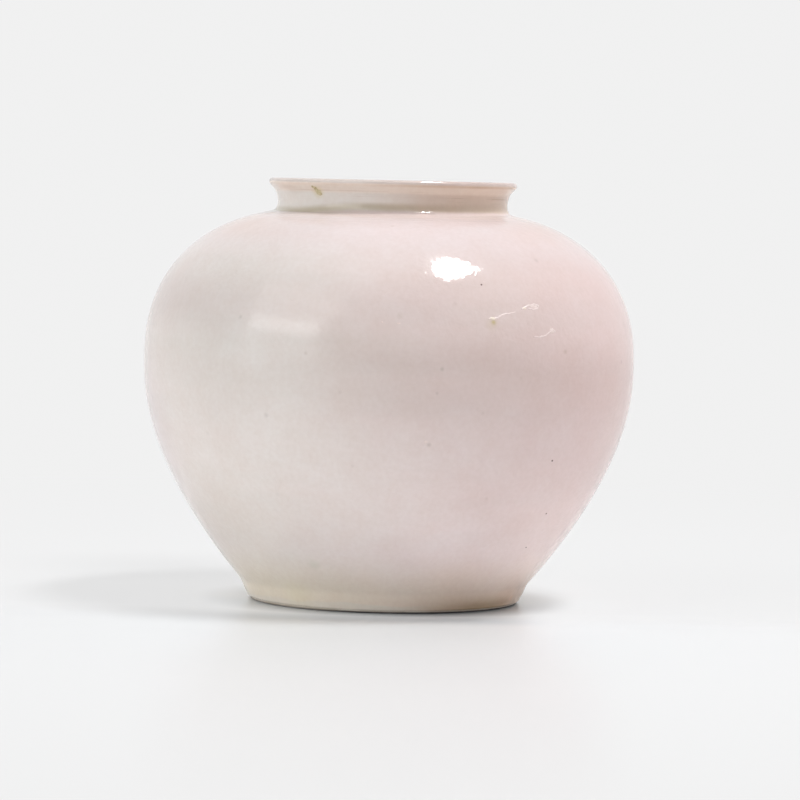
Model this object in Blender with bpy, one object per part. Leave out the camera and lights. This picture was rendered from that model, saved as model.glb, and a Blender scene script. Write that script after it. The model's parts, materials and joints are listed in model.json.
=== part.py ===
"""A wheel-thrown globular jar: two bowls, a foot ring and a neck collar, luted together with slip.

Metres, +Z up. The origin is the centre of the ring that the foot stands on. Every piece is turned
round the Z axis from an outline of (radius, height) points, and an outline goes round its piece
with the clay on its right: up the inner side, over the top and down the outer side.
"""

from math import cos, pi, radians, sin, tan

import bmesh
import bpy
from mathutils import Vector

# Belly: the widest part, where the two bowls meet
GIRTH_RADIUS = 0.1246
GIRTH_HEIGHT = 0.1219
GIRTH_WALL = 0.0062

# Lower wall: from the waist above the foot, leaning out at its slope, up to the girth
WAIST_SLOPE = radians(40.5)
WAIST_PULL = 0.0413
WAIST_WALL = 0.0080
LOWER_PULL = 0.0374

# Upper wall: from the girth in over the shoulder to the neck
UPPER_PULL = 0.0327
SHOULDER_HEIGHT = 0.1970
SHOULDER_SLOPE = radians(10.5)
SHOULDER_PULL = 0.0440
SHOULDER_WALL = 0.0056

# Floor of the jar, inside
FLOOR_THICKNESS = 0.0085
FLOOR_CORNER = 0.0120

# Neck collar: a short wall that flares into a rolled lip
NECK_RADIUS = 0.0581
NECK_WALL = 0.0050
NECK_HEIGHT = 0.0170
NECK_STRAIGHT = 0.0050
NECK_TAPER = radians(7)
NECK_PULL = 0.0068
LIP_RADIUS = 0.0629
LIP_THICKNESS = 0.0030
LIP_SLOPE = radians(43)
LIP_PULL = 0.0048
MOUTH_ROUNDING = 0.0012

# Foot ring: leans out from its standing face to the waist, with a rounded outer side
FOOT_HEIGHT = 0.0082
FOOT_STANDING_RADIUS = 0.0678
FOOT_SPREAD = 0.0052
FOOT_STANDING_WIDTH = 0.0056
FOOT_TOP_WIDTH = 0.0112
FOOT_ROUNDING = 0.0021
FOOT_INNER_CHAMFER = 0.0008

# Luted joints: a layer of slip in a keyed seam, a ridge pressed over the seam inside the girth
SLIP_THICKNESS = 0.0009
SEAM_CLEARANCE = 0.0003
GIRTH_KEY_DEPTH = 0.0016
FOOT_KEY_DEPTH = 0.0012
RIDGE_HEIGHT = 0.0070
RIDGE_DEPTH = 0.0016
REBATE_DEPTH = 0.0012
REBATE_WIDTH = 0.0042
FILLET_HEIGHT = 0.0025
FILLET_EDGE = 0.0003

# Facets
SEGMENTS = 60
WALL_STEPS = 10
FLARE_STEPS = 5
ROLL_STEPS = 3
CORNER_STEPS = 4
AXIS_MERGE = 0.000001
SHARP_ANGLE = radians(32)

# Finishes: colour, roughness
GLAZED = ((0.84, 0.77, 0.74, 1.0), 0.14)
BARE = ((0.72, 0.64, 0.55, 1.0), 0.62)
SLIP = ((0.78, 0.71, 0.65, 1.0), 0.50)

# Heights and radii that follow from the sizes above
SEAM = SLIP_THICKNESS + 2 * SEAM_CLEARANCE
BASE_HEIGHT = FOOT_HEIGHT + SEAM
WAIST_RADIUS = FOOT_STANDING_RADIUS + FOOT_SPREAD
MOUTH_RADIUS = NECK_RADIUS - NECK_WALL
REBATE_RADIUS = NECK_RADIUS + REBATE_WIDTH
SEAT_HEIGHT = SHOULDER_HEIGHT - REBATE_DEPTH
COLLAR_HEIGHT = SEAT_HEIGHT + SEAM
LIP_TOP = SHOULDER_HEIGHT + NECK_HEIGHT


def remove_everything():
    """Empties the scene."""
    for item in list(bpy.data.objects):
        bpy.data.objects.remove(item, do_unlink=True)


def direction(angle):
    """A unit step that leans out from straight up by an angle."""
    return Vector((sin(angle), cos(angle)))


def wall(start, start_pull, end_pull, end, start_wall, end_wall, steps):
    """The two sides of a wall whose outside is a cubic curve, both from its start to its end."""
    outside = []
    inside = []
    for step in range(steps + 1):
        t = step / steps
        s = 1 - t
        point = s**3 * start + 3 * s * s * t * start_pull + 3 * s * t * t * end_pull + t**3 * end
        along = s * s * (start_pull - start) + 2 * s * t * (end_pull - start_pull) + t * t * (end - end_pull)
        inward = Vector((-along.y, along.x)).normalized()
        outside.append(point)
        inside.append(point + inward * (start_wall + (end_wall - start_wall) * t))
    return outside, inside


def corner(start, bend, end, steps):
    """A rounded corner from start to end, drawn towards the bend."""
    points = []
    for step in range(steps + 1):
        t = step / steps
        points.append((1 - t) ** 2 * start + 2 * (1 - t) * t * bend + t * t * end)
    return points


def arc(centre, radius, first, last, steps):
    """Points on an arc, by the angle above the outward direction."""
    points = []
    for step in range(steps + 1):
        angle = first + (last - first) * step / steps
        points.append(centre + radius * Vector((cos(angle), sin(angle))))
    return points


def keyed_face(inner, outer, height, depth):
    """A seam's face from its inner to its outer edge, with a V-shaped key pointing down."""
    return [Vector((inner, height)), Vector(((inner + outer) / 2, height - depth)), Vector((outer, height))]


def waist():
    """The outer edge of the bowl's base, where the wall leaves the foot."""
    return Vector((WAIST_RADIUS, BASE_HEIGHT))


def lower_wall():
    """Both sides of the lower wall, from the waist up to the straight band at the girth."""
    start = waist()
    end = Vector((GIRTH_RADIUS, GIRTH_HEIGHT - RIDGE_HEIGHT / 2))
    start_pull = start + WAIST_PULL * direction(WAIST_SLOPE)
    end_pull = end - LOWER_PULL * direction(0)
    return wall(start, start_pull, end_pull, end, WAIST_WALL, GIRTH_WALL, WALL_STEPS)


def upper_wall():
    """Both sides of the upper wall, from the band at the girth to the rebate for the neck."""
    start = Vector((GIRTH_RADIUS, GIRTH_HEIGHT + RIDGE_HEIGHT / 2))
    end = Vector((REBATE_RADIUS, SHOULDER_HEIGHT))
    start_pull = start + UPPER_PULL * direction(0)
    end_pull = end + SHOULDER_PULL * Vector((cos(SHOULDER_SLOPE), -sin(SHOULDER_SLOPE)))
    return wall(start, start_pull, end_pull, end, GIRTH_WALL, SHOULDER_WALL, WALL_STEPS)


def floor_and_inner_wall(inside):
    """The inside of the lower bowl, from the middle of its floor up its wall."""
    floor = BASE_HEIGHT + FLOOR_THICKNESS
    above = [point for point in inside if point.y > floor + FLOOR_CORNER]
    fall = (above[0] - above[1]).normalized()
    bend = above[0] + fall * (floor - above[0].y) / fall.y
    run = (above[0] - bend).length
    turn = corner(Vector((bend.x - run, floor)), bend, above[0], CORNER_STEPS)
    return [Vector((0, floor))] + turn + above[1:]


def ring_outer_side():
    """The foot ring's outer side, from its top edge down to the standing face."""
    standing = Vector((FOOT_STANDING_RADIUS, 0))
    bend = standing + Vector((FOOT_ROUNDING, FOOT_ROUNDING))
    top = Vector((seam_radius(FOOT_HEIGHT), FOOT_HEIGHT))
    return corner(top, bend, standing, CORNER_STEPS)


def seam_radius(height):
    """The outer radius at a height in the foot's seam, on the line from the foot's bend to the waist."""
    bend = Vector((FOOT_STANDING_RADIUS + FOOT_ROUNDING, FOOT_ROUNDING))
    rise = waist() - bend
    return bend.x + rise.x * (height - bend.y) / rise.y


def foot_ring():
    """The ring that the jar stands on, with a groove in its top for the base's key."""
    inner_top = seam_radius(FOOT_HEIGHT) - FOOT_TOP_WIDTH
    inner_foot = FOOT_STANDING_RADIUS - FOOT_STANDING_WIDTH
    chamfer = [
        Vector((inner_foot, 0)),
        Vector((inner_foot - FOOT_INNER_CHAMFER, FOOT_INNER_CHAMFER)),
    ]
    top = keyed_face(inner_top, seam_radius(FOOT_HEIGHT), FOOT_HEIGHT, FOOT_KEY_DEPTH)
    return chamfer + top[:2] + ring_outer_side()


def foot_luting():
    """The slip between the foot ring and the base."""
    inner = seam_radius(FOOT_HEIGHT) - FOOT_TOP_WIDTH
    low = FOOT_HEIGHT + SEAM_CLEARANCE
    high = low + SLIP_THICKNESS
    over = keyed_face(inner, seam_radius(high), high, FOOT_KEY_DEPTH)
    under = keyed_face(inner, seam_radius(low), low, FOOT_KEY_DEPTH)
    return over + under[::-1]


def lower_bowl():
    """The bowl with the floor, grooved along its rim, with a key round its base for the foot ring."""
    outside, inside = lower_wall()
    rim = GIRTH_HEIGHT - SEAM / 2
    rim_face = keyed_face(GIRTH_RADIUS - GIRTH_WALL, GIRTH_RADIUS, rim, GIRTH_KEY_DEPTH)
    inner_key = seam_radius(FOOT_HEIGHT) - FOOT_TOP_WIDTH
    base_face = keyed_face(inner_key, WAIST_RADIUS, BASE_HEIGHT, FOOT_KEY_DEPTH)
    underside = base_face[:2][::-1] + [Vector((0, BASE_HEIGHT))]
    return floor_and_inner_wall(inside) + rim_face + outside[::-1] + underside


def girth_luting():
    """The slip between the bowls, with the ridge that is pressed over the seam inside."""
    inner = GIRTH_RADIUS - GIRTH_WALL
    back = inner - SEAM_CLEARANCE
    low = GIRTH_HEIGHT - SLIP_THICKNESS / 2
    high = GIRTH_HEIGHT + SLIP_THICKNESS / 2
    over = keyed_face(back, GIRTH_RADIUS, high, 0)
    over[1] = Vector((inner + GIRTH_WALL / 2, high - GIRTH_KEY_DEPTH))
    under = keyed_face(back, GIRTH_RADIUS, low, 0)
    under[1] = Vector((inner + GIRTH_WALL / 2, low - GIRTH_KEY_DEPTH))
    ridge_low = Vector((back, GIRTH_HEIGHT - RIDGE_HEIGHT / 2))
    ridge_high = Vector((back, GIRTH_HEIGHT + RIDGE_HEIGHT / 2))
    bend = Vector((back - 2 * RIDGE_DEPTH, GIRTH_HEIGHT))
    return corner(ridge_low, bend, ridge_high, CORNER_STEPS) + over + under[::-1]


def upper_bowl():
    """The shoulder, keyed along its rim, with a rebate round its mouth for the collar."""
    outside, inside = upper_wall()
    rim = GIRTH_HEIGHT + SEAM / 2
    rim_face = keyed_face(GIRTH_RADIUS - GIRTH_WALL, GIRTH_RADIUS, rim, GIRTH_KEY_DEPTH)
    under_mouth = Vector((MOUTH_RADIUS + MOUTH_ROUNDING, 0))
    under_mouth.y = inside[-1].y + (inside[-1].x - under_mouth.x) * tan(SHOULDER_SLOPE)
    bore = Vector((MOUTH_RADIUS, under_mouth.y + MOUTH_ROUNDING))
    rebate = [Vector((MOUTH_RADIUS, SEAT_HEIGHT)), Vector((REBATE_RADIUS, SEAT_HEIGHT))]
    return inside + [under_mouth, bore] + rebate + outside[::-1] + rim_face[::-1]


def neck_luting():
    """The slip under the collar, drawn up outside it into the fillet between neck and shoulder."""
    low = SEAT_HEIGHT + SEAM_CLEARANCE
    high = low + SLIP_THICKNESS
    beside = NECK_RADIUS + SEAM_CLEARANCE
    rebate = REBATE_RADIUS - SEAM_CLEARANCE
    top = Vector((beside + FILLET_EDGE, SHOULDER_HEIGHT + FILLET_HEIGHT))
    foot = Vector((rebate, SHOULDER_HEIGHT))
    bend = Vector((top.x, SHOULDER_HEIGHT + (rebate - top.x) * tan(SHOULDER_SLOPE)))
    under_collar = [Vector((MOUTH_RADIUS, low)), Vector((MOUTH_RADIUS, high)), Vector((beside, high))]
    beside_collar = [Vector((beside, top.y))]
    return under_collar + beside_collar + corner(top, bend, foot, CORNER_STEPS) + [Vector((rebate, low))]


def neck_collar():
    """The short neck and its rolled lip."""
    roll = LIP_THICKNESS / 2
    centre = Vector((LIP_RADIUS - roll, LIP_TOP - roll))
    start = Vector((NECK_RADIUS, SHOULDER_HEIGHT + NECK_STRAIGHT))
    end = centre + roll * Vector((cos(LIP_SLOPE), -sin(LIP_SLOPE)))
    start_pull = start + NECK_PULL * direction(NECK_TAPER)
    end_pull = end - LIP_PULL * direction(LIP_SLOPE)
    outside, inside = wall(start, start_pull, end_pull, end, NECK_WALL, LIP_THICKNESS, FLARE_STEPS)
    under_lip = arc(centre, roll, -LIP_SLOPE, pi / 2, ROLL_STEPS)
    over_lip = arc(centre, roll, pi / 2, pi - LIP_SLOPE, ROLL_STEPS)
    lip = under_lip[1:] + over_lip[1:-1]
    foot = [Vector((NECK_RADIUS, COLLAR_HEIGHT)), Vector((MOUTH_RADIUS, COLLAR_HEIGHT))]
    return inside + lip[::-1] + outside[::-1] + foot


def material(name, finish):
    """A plain surface of one colour."""
    colour, roughness = finish
    made = bpy.data.materials.new(name)
    made.use_nodes = True
    shader = made.node_tree.nodes["Principled BSDF"]
    shader.inputs["Base Color"].default_value = colour
    shader.inputs["Roughness"].default_value = roughness
    shader.inputs["Metallic"].default_value = 0.0
    made.diffuse_color = colour
    return made


def turned(name, outline, finish):
    """Turns an outline round the Z axis into one closed piece."""
    bm = bmesh.new()
    verts = [bm.verts.new((point.x, 0, point.y)) for point in outline]
    edges = [bm.edges.new(pair) for pair in zip(verts, verts[1:])]
    if outline[0].x > 0:
        edges.append(bm.edges.new((verts[-1], verts[0])))
    bmesh.ops.spin(
        bm,
        geom=verts + edges,
        cent=(0, 0, 0),
        axis=(0, 0, 1),
        angle=2 * pi,
        steps=SEGMENTS,
        use_merge=True,
    )
    bmesh.ops.remove_doubles(bm, verts=bm.verts, dist=AXIS_MERGE)
    bmesh.ops.recalc_face_normals(bm, faces=bm.faces)
    mesh = bpy.data.meshes.new(name)
    bm.to_mesh(mesh)
    bm.free()
    mesh.shade_smooth()
    mesh.set_sharp_from_angle(angle=SHARP_ANGLE)
    mesh.materials.append(material(name, finish))
    piece = bpy.data.objects.new(name, mesh)
    bpy.context.scene.collection.objects.link(piece)
    return piece


def build():
    """Makes every piece of the jar, from the foot up."""
    remove_everything()
    turned("foot_ring", foot_ring(), BARE)
    turned("foot_luting", foot_luting(), SLIP)
    turned("lower_bowl", lower_bowl(), GLAZED)
    turned("girth_luting", girth_luting(), SLIP)
    turned("upper_bowl", upper_bowl(), GLAZED)
    turned("neck_luting", neck_luting(), SLIP)
    turned("neck_collar", neck_collar(), GLAZED)


build()
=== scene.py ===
"""The looks of a wheel-thrown globular jar: glaze, marks and bare foot, with a floor, lights and a camera.

Metres, +Z up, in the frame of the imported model. The photographed side faces -Y. The glaze is one closed skin
that follows the clay's own outline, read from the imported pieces, and fills its hollows as melted glaze does.
"""

import json
from math import cos, pi, radians, sin, tau

import bmesh
import bpy
import numpy as np
from mathutils import Matrix, Vector, noise


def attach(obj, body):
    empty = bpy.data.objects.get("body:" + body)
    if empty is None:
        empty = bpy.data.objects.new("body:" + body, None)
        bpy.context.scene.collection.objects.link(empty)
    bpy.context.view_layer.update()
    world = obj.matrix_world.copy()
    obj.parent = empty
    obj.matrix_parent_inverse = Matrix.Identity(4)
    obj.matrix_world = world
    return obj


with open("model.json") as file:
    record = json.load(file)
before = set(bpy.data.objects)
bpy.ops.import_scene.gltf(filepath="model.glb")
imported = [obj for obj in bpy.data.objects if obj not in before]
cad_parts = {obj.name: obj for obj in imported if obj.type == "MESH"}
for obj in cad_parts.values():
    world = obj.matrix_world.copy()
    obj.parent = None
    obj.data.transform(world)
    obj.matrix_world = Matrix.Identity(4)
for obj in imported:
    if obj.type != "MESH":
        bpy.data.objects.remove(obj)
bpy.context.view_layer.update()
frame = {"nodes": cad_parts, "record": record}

MM = 0.001

# Camera, at the photograph's viewing angle
CAMERA_DISTANCE = 2.049
CAMERA_HEIGHT = 0.215
CAMERA_ASIDE = 0.0061
CAMERA_PITCH = radians(3.15)
CAMERA_ROLL = radians(1.36)
LENS_MM = 180.7
SENSOR_MM = 36.0

# Reading the clay's outline: how close counts as the same place, and how level a level face is
TINY = 1e-6
SAME_PLACE = 20 * TINY
DECIMALS = 7
LEVEL_NORMAL = 0.9999

# Glaze skin: its thickness, the bead at its lower edge, where that edge is and how deep it is sunk, how
# finely its path is worked out, and how far it fills the hollows
GLAZE = 0.35 * MM
BEAD = 0.20 * MM
BEAD_LENGTH = 1.6 * MM
GLAZE_LINE = 1.1 * MM
CUT_DEPTH = 0.8 * MM
SAMPLE = 0.2 * MM
DENSER = 4
FILL_ROUNDS = 60
SOFTEN_ROUNDS = 4
FILL_SHARE = 0.5

# Steps along the skin: fine ones this far down from the lip and up from the ground, and outside this radius
# under the base
FINE_STEP = 0.5 * MM
WALL_STEP = 2.2 * MM
FINE_LIP = 21 * MM
FINE_FOOT = 14 * MM
FINE_RADIUS = 58 * MM
ROUND_STEPS = 192

# Throwing marks and unevenness. A strength is its mean and its swing, and a change is the scale of its noise
# up the jar. The marks outside start above the foot, and those inside fade out below the neck.
OUTER_RIPPLE = 0.018 * MM
OUTER_PITCH = 3.6 * MM
OUTER_START = 12 * MM
OUTER_STRENGTH = (0.5, 0.5)
OUTER_CHANGE = 90
INNER_RIPPLE = 0.40 * MM
INNER_PITCH = 8.5 * MM
INNER_STRENGTH = (0.65, 0.35)
INNER_CHANGE = 10
INNER_LOBES = 2
INNER_TOP = 0.196
INNER_FADE = 0.012
UNEVEN = 0.10 * MM
UNEVEN_SCALE = 14.0

# Light: what each source adds to a surface that faces it, where 1 shows a colour as it is written
KEY_LEVEL = 0.68
WORLD_LEVEL = 0.03
WORLD_LEFT = 0.86
WORLD_RIGHT = 0.98
WORLD_BACK = 0.43
BACKGROUND = 0.877
LAMP_DISTANCE = 3.0
KEY_WAY = Vector((0.326, -0.101, 0.933))
KEY_SIZE = (1.12, 0.50)
AIM = Vector((0, 0, 0.11))

# What the glaze mirrors of the key: a bright leaf on a square lamp. A place on the lamp, in metres from its
# middle, gives the leaf's own two axes, in which its body is a circle of radius 1 and its tail a wedge.
SHINE_WAY = Vector((0.311, -0.095, 0.94))
SHINE_SIZE = 1.6
SHINE_GLOW = 75.0
LEAF_ALONG = (1.948, -3.629, 0.208)
LEAF_ACROSS = (-1.262, -1.432, -0.107)
LEAF_TIP = 2.40
LEAF_TIP_SIDE = 0.20
LEAF_TAPER = 0.50
LEAF_EDGE = 0.30

# The soft card at the front left and its brighter middle: the way to it, half its size and half its soft
# edge as sines of the angle, and its glow
CARD = (Vector((-0.76, -0.58, 0.40)), (0.345, 0.44), (0.085, 0.13), 1.45)
CORE = (Vector((-0.736, -0.575, 0.358)), (0.30, 0.085), (0.05, 0.045), 2.0)

# The forms of the values below. A range is where something starts and where it is full, mostly in metres,
# and a longer range adds the values at its two ends. A hump is its middle and its reach. A patch is its
# middle, its reach and its tint. A band is a hump, a range across it and its tint. A noise is its scale, its
# detail and, where it isn't 0.5, its roughness. A texture is a noise and a range of the noise's values, and
# streaks are a texture with the scale of its axes first. A bump is its strength and its height.

# The room in the glaze's mirror image: dark in front, lighter behind and above
DARK_FRONT = 0.10
MIRROR_BACK = (-0.75, 0.05)
MIRROR_TOP = (0.20, 0.75, 0.0, 0.7)

# Floor. Its patches are painted shade at the right front of the foot, painted light at its right, a painted
# cool shade in front and a painted shadow behind it on the left. The band is painted shade just in front of
# the foot, and the ring is painted shade round it.
FLOOR_SIZE = 8.0
FLOOR_CELLS = 8
FLOOR_DROP = 0.25 * MM
FLOOR_COLOUR = (0.90, 0.90, 0.90)
FLOOR_SEEN = (0.765, 0.770, 0.778)
FLOOR_SHEEN = (0.86, 0.93, 1.0)
FLOOR_ROUGHNESS = 0.26
FLOOR_PAINTED_LIGHT_AND_SHADE = (
    ((0.045, -0.074, 0.0), 0.050, (0.74, 0.745, 0.76)),
    ((0.088, 0.0, 0.0), 0.050, (1.06, 1.085, 1.09)),
    ((0.0, -0.10, 0.0), 0.30, (0.955, 0.985, 1.0)),
    ((-0.118, 0.152, 0.0), 0.11, (0.76, 0.76, 0.76)),
)
FLOOR_PAINTED_SHADE_BAND = ((-0.089, 0.024), (0.085, 0.055), (0.87, 0.91, 0.945))
SHADE_RING_OUT = (0.110, 0.068)
SHADE_RING_FRONT = (0.005, -0.035)
SHADE_RING_TINT = (0.900, 0.930, 0.960)

# How much of the floor's own shade the eye sees: in front of the jar, close to it, and further away
SHADE_KEPT = 0.48
KEPT_FRONT = (-0.11, -0.05, 1.0, SHADE_KEPT)
KEPT_CLOSE = (0.070, 0.100, 1.0, SHADE_KEPT)
KEPT_FAR = (0.10, 0.80, 1.0, 0.0)

# Glaze on the body. Its patches are sage high on the left, violet at the left edge, dull yellow low on the
# left and a lighter one low on the right.
CREAM = (0.721, 0.653, 0.619)
PINK = (0.716, 0.555, 0.536)
PINK_ACROSS = (-0.055, 0.105)
ROSE = (0.724, 0.614, 0.612)
ROSE_RISE = (0.165, 0.190, 0.0, 0.8)
WANDER = (7.0, 3.0)
WANDER_ACROSS = 0.10
WANDER_UP = 0.02
# A belt of painted shade round the girth on the right, and a fainter, cooler band above it
PAINTED_SHADE_BELT = ((0.1200, 0.029), (-0.060, 0.010), (0.90, 0.885, 0.875))
HIGH_BELT = ((0.1510, 0.0160), (-0.050, -0.010), (0.970, 0.980, 0.978))
LEFT_SHOULDER = ((0.156, 0.026), (0.055, 0.015), (0.950, 0.912, 0.918))
WARM_SHOULDER = (0.985, 0.918, 0.875)
WARM_ASIDE = (0.045, 0.075)
WARM_RISE = (0.180, 0.192)
# Painted bounce light: the glaze made lighter down the lower bowl and towards the foot
PAINTED_BOUNCE_BOWL = (0.100, 0.040, 0.975, 1.06)
PAINTED_BOUNCE_FOOT = (0.046, 0.014, 1.0, 1.06)
BODY_PATCHES = (
    ((-0.072, -0.075, 0.158), 0.085, (0.90, 0.93, 0.92)),
    ((-0.122, -0.010, 0.085), 0.060, (0.95, 0.905, 0.96)),
    ((-0.072, -0.062, 0.045), 0.060, (0.965, 0.955, 0.930)),
    ((0.072, -0.058, 0.045), 0.050, (1.020, 1.030, 1.025)),
)

# Glaze at the foot
FOOT_WAVE = (30.0, 2.0)
FOOT_WAVE_HEIGHT = 0.006
TIDE = (0.990, 0.975, 0.850)
TIDE_DROP = (0.034, 0.006)
# Paler, yellower glaze at the foot's edge on the left, partly painted light
FOOT_PALE_AND_LIT = (0.755, 0.685, 0.600)
FOOT_PALE_AND_LIT_DROP = (0.0048, 0.0034, 0.0, 0.7)
FOOT_PALE_AND_LIT_ACROSS = (0.030, 0.005)
# Browner glaze at the foot's right front, partly painted shade
FOOT_BROWN_AND_SHADE = (0.47, 0.325, 0.200)
FOOT_BROWN_AND_SHADE_PLACE = ((0.050, -0.050, 0.001), 0.054)
FOOT_BROWN_AND_SHADE_DROP = (0.0125, 0.0005)

# Glaze on the neck and the lip. A pair of colours is the left one and the right one. The neck goes out from
# NECK_FROM to NECK_TO, and NECK_LEAN moves the tints at its root down on the left and up on the right.
LEVEL_AXES = (1, 1, 0)
NECK_WAVE = (45.0, 3.0)
NECK_WAVE_HEIGHT = 0.0012
NECK_WAVE_ACROSS = 0.02
NECK_ACROSS = (-0.026, 0.038)
NECK_LEAN = (-0.052, -0.018, -0.0010, 0.0018)
NECK_FROM = (0.0530, 0.0535)
NECK_TO_LEFT = (0.0632, 0.0612)
NECK_TO_RIGHT = (0.0612, 0.0600)
# The neck's and the collar's right colours are browner, partly the glaze and partly painted shade
NECK = ((0.712, 0.668, 0.625), (0.638, 0.498, 0.408))
NECK_RISE = (0.1965, 0.1985)
POOL = ((0.515, 0.455, 0.355), (0.630, 0.495, 0.395))
POOL_HUMP = (0.1988, 0.0032)
COLLAR = ((0.775, 0.690, 0.615), (0.720, 0.595, 0.500))
COLLAR_RISE = (0.2068, 0.2086)
COLLAR_OUT = (0.0555, 0.0565)
# Painted light on the shoulder round the neck's root
PAINTED_LIGHT_UNDER_NECK = ((0.1945, 0.0060), (0.0720, 0.0650), (1.085, 1.050, 1.015))
LIP_EDGE = ((0.615, 0.545, 0.510), (0.600, 0.480, 0.445))
LIP_EDGE_RISE = (0.2119, 0.2129)
RIM = (0.86, 0.77, 0.70)
RIM_HUMP = (0.2116, 0.0011)
RIM_OUT = (0.0570, 0.0580)
RIM_LEFT_TO_RIGHT = (0.45, 1.0)
THIN_BROWN = (0.420, 0.300, 0.215)
THIN_HUMP = (0.2072, 0.0060)
THIN_LEFT_TO_RIGHT = (0.28, 0.60)
THIN_STREAKS = ((12, 12, 1500), (1.0, 2.0, 0.6), (0.54, 0.68))
THIN_BREAKS = ((55, 55, 220), (1.0, 2.0), (0.40, 0.60))

# Unevenness of the glaze: the scale of the axes, the noise's scale and detail, and the tints at its ends
MOTTLES = (
    ((1, 1, 1), 22.0, 3.0, (0.985, 0.975, 0.970), (1.015, 1.025, 1.030)),
    ((1, 1, 1), 75.0, 4.0, (0.992, 0.980, 0.975), (1.008, 1.020, 1.025)),
    ((1, 1, 12), 9.0, 3.0, (0.988, 0.992, 0.990), (1.012, 1.008, 1.010)),
    ((1, 1, 1), 420.0, 3.0, (0.982, 0.975, 0.970), (1.018, 1.025, 1.030)),
)
MOTTLE_ROUGHNESS = 0.55
MOTTLE_RANGE = (0.30, 0.70)
GLAZE_IOR = 1.5
GLAZE_ROUGHNESS = ((60.0, 3.0), (0.3, 0.7, 0.06, 0.11))
PEEL = (260.0, 2.0, 0.45)
FINE_PEEL = (700.0, 1.0)
FINE_PEEL_SHARE = 0.55
PEEL_BUMP = (1.0, 0.09 * MM)

# Bare clay and slip: a light and a dark colour, patchy, with turning lines, and painted contact shade where
# the jar stands
BARE_CLAY = ((0.80, 0.72, 0.62), (0.66, 0.56, 0.45))
SLIP = ((0.62, 0.54, 0.47), (0.52, 0.44, 0.37))
CONTACT_SHADE = (0.110, 0.090, 0.085)
CONTACT_SHADE_DROP = (0.0010, 0.0003)
CONTACT_SHADE_ACROSS = (-0.045, -0.010, 0.5, 1.0)
CONTACT_SHADE_EDGE = (0.0660, 0.0674)
CONTACT_SHADE_BREAKS = ((160.0, 4.0), (0.35, 0.65, 0.10, 0.45))
CLAY_PATCHES = ((45.0, 4.0), (0.35, 0.65))
CLAY_TURNING = ((30.0, 30.0, 1400.0), (1.0, 2.0), (0.4, 0.7, 0.0, 0.35))
CLAY_ROUGHNESS = ((300.0,), (0.3, 0.7, 0.55, 0.75))
CLAY_GRAIN = (1500.0, 3.0, 0.6)
CLAY_BUMP = (0.5, 0.2 * MM)

# Marks on the glaze: degrees to the right of -Y and millimetres up, then width and height in millimetres and
# degrees of lean
SPECKS = (
    (22.8, 164.9, 1.1, 1.1, 0), (44.2, 78.8, 1.3, 1.2, 0), (50.6, 51.2, 0.9, 0.8, 0),
    (50.1, 33.5, 0.9, 0.8, 0),
)
PALE_SPOTS = (
    (9.1, 88.9, 2.0, 1.4, 20), (2.2, 145.8, 1.8, 0.8, 0), (40.2, 142.9, 2.8, 2.4, 30),
    (-1.6, 146.2, 1.2, 0.6, 0), (36.0, 154.5, 5.0, 2.0, -5), (23.4, 166.2, 0.6, 0.5, 0),
    (24.1, 165.2, 0.6, 0.5, 0),
)
CREAM_SPOTS = ((24.3, 148.75, 4.0, 1.5, 0), (33.0, 153.7, 3.0, 1.2, 15))
BLOOM = (
    (-40.2, 210.0, 2.0, 2.0, 35), (-39.2, 209.3, 2.4, 2.6, 40), (-38.8, 208.1, 3.4, 3.2, 40),
    (-38.1, 207.5, 3.8, 3.4, 40), (-37.5, 206.9, 2.8, 2.6, 20),
)
# Threads of torn glaze: angle and height as above, and the thread's width in millimetres, from end to end
TEARS = (
    ((23.2, 148.7, 0.5), (24.4, 148.8, 1.4), (25.6, 149.0, 1.5), (26.6, 150.4, 1.3), (28.4, 151.2, 1.0),
     (30.4, 151.7, 0.5)),
    ((32.2, 153.4, 0.7), (33.4, 154.0, 1.4), (34.6, 155.2, 1.2), (36.4, 155.6, 1.2), (37.5, 154.8, 1.3),
     (36.9, 153.6, 1.2), (35.6, 153.3, 1.2), (34.2, 153.6, 0.8)),
    ((34.6, 140.0, 0.5), (36.6, 140.0, 1.1), (38.2, 140.6, 1.1), (39.3, 142.2, 1.3), (40.4, 143.6, 1.2),
     (41.2, 142.8, 0.8)),
)
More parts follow.
